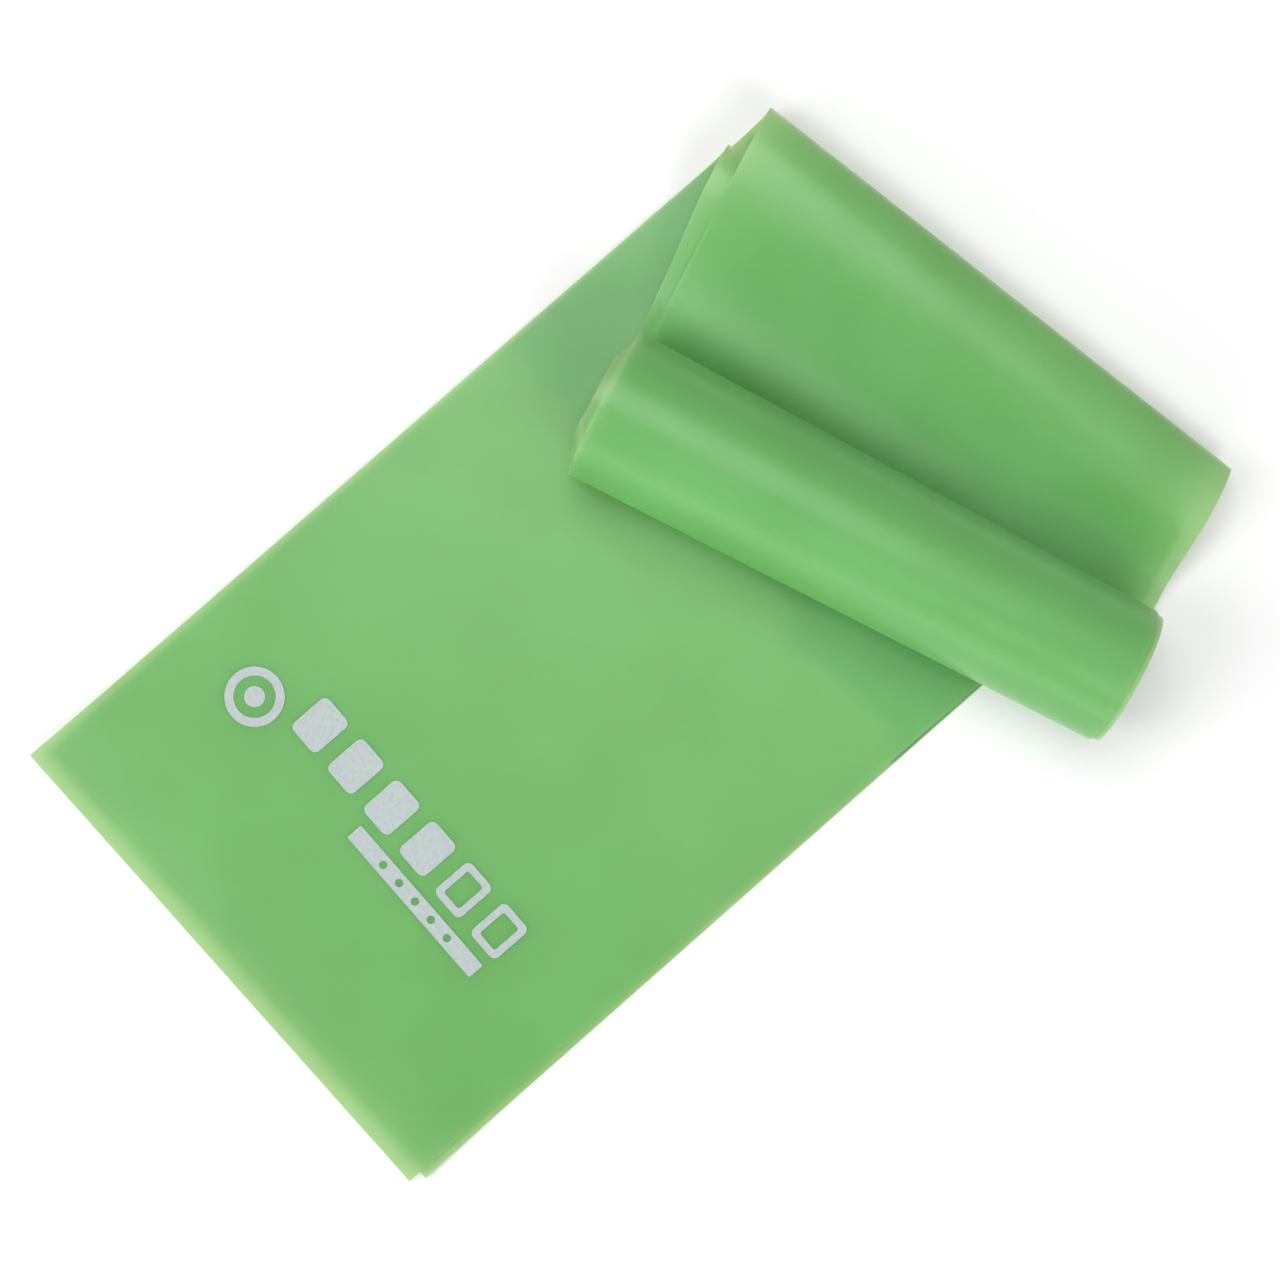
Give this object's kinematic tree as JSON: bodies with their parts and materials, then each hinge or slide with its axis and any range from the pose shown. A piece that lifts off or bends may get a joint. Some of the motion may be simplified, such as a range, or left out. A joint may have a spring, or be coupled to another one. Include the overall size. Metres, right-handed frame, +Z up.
{
  "type": "resistance band",
  "caption": "flat latex exercise band, folded double, laid flat at its free ends, folded back on itself and rolled up from its middle, with a plain printed level mark",
  "frame": {"origin": "bottom centre of the bounding box, on the surface that the band lies on", "axes": "+Y along the roll's axis, to the left of the returning run; +X from the roll back towards the fold; +Z up, out of the resting surface. The flat double run is swung 21.4 degrees from X, its free ends at low X and high Y"},
  "size_m": [0.293, 0.2444, 0.041],
  "materials": {
    "latex": "satin",
    "ink": "matte"
  },
  "bodies": {
    "root": {"band": "latex", "print_badge_ring": "ink", "print_badge_dot": "ink", "print_level_1": "ink", "print_level_2": "ink", "print_level_3": "ink", "print_level_4": "ink", "print_level_5": "ink", "print_level_6": "ink", "print_rule": "ink"}
  },
  "joints": []
}
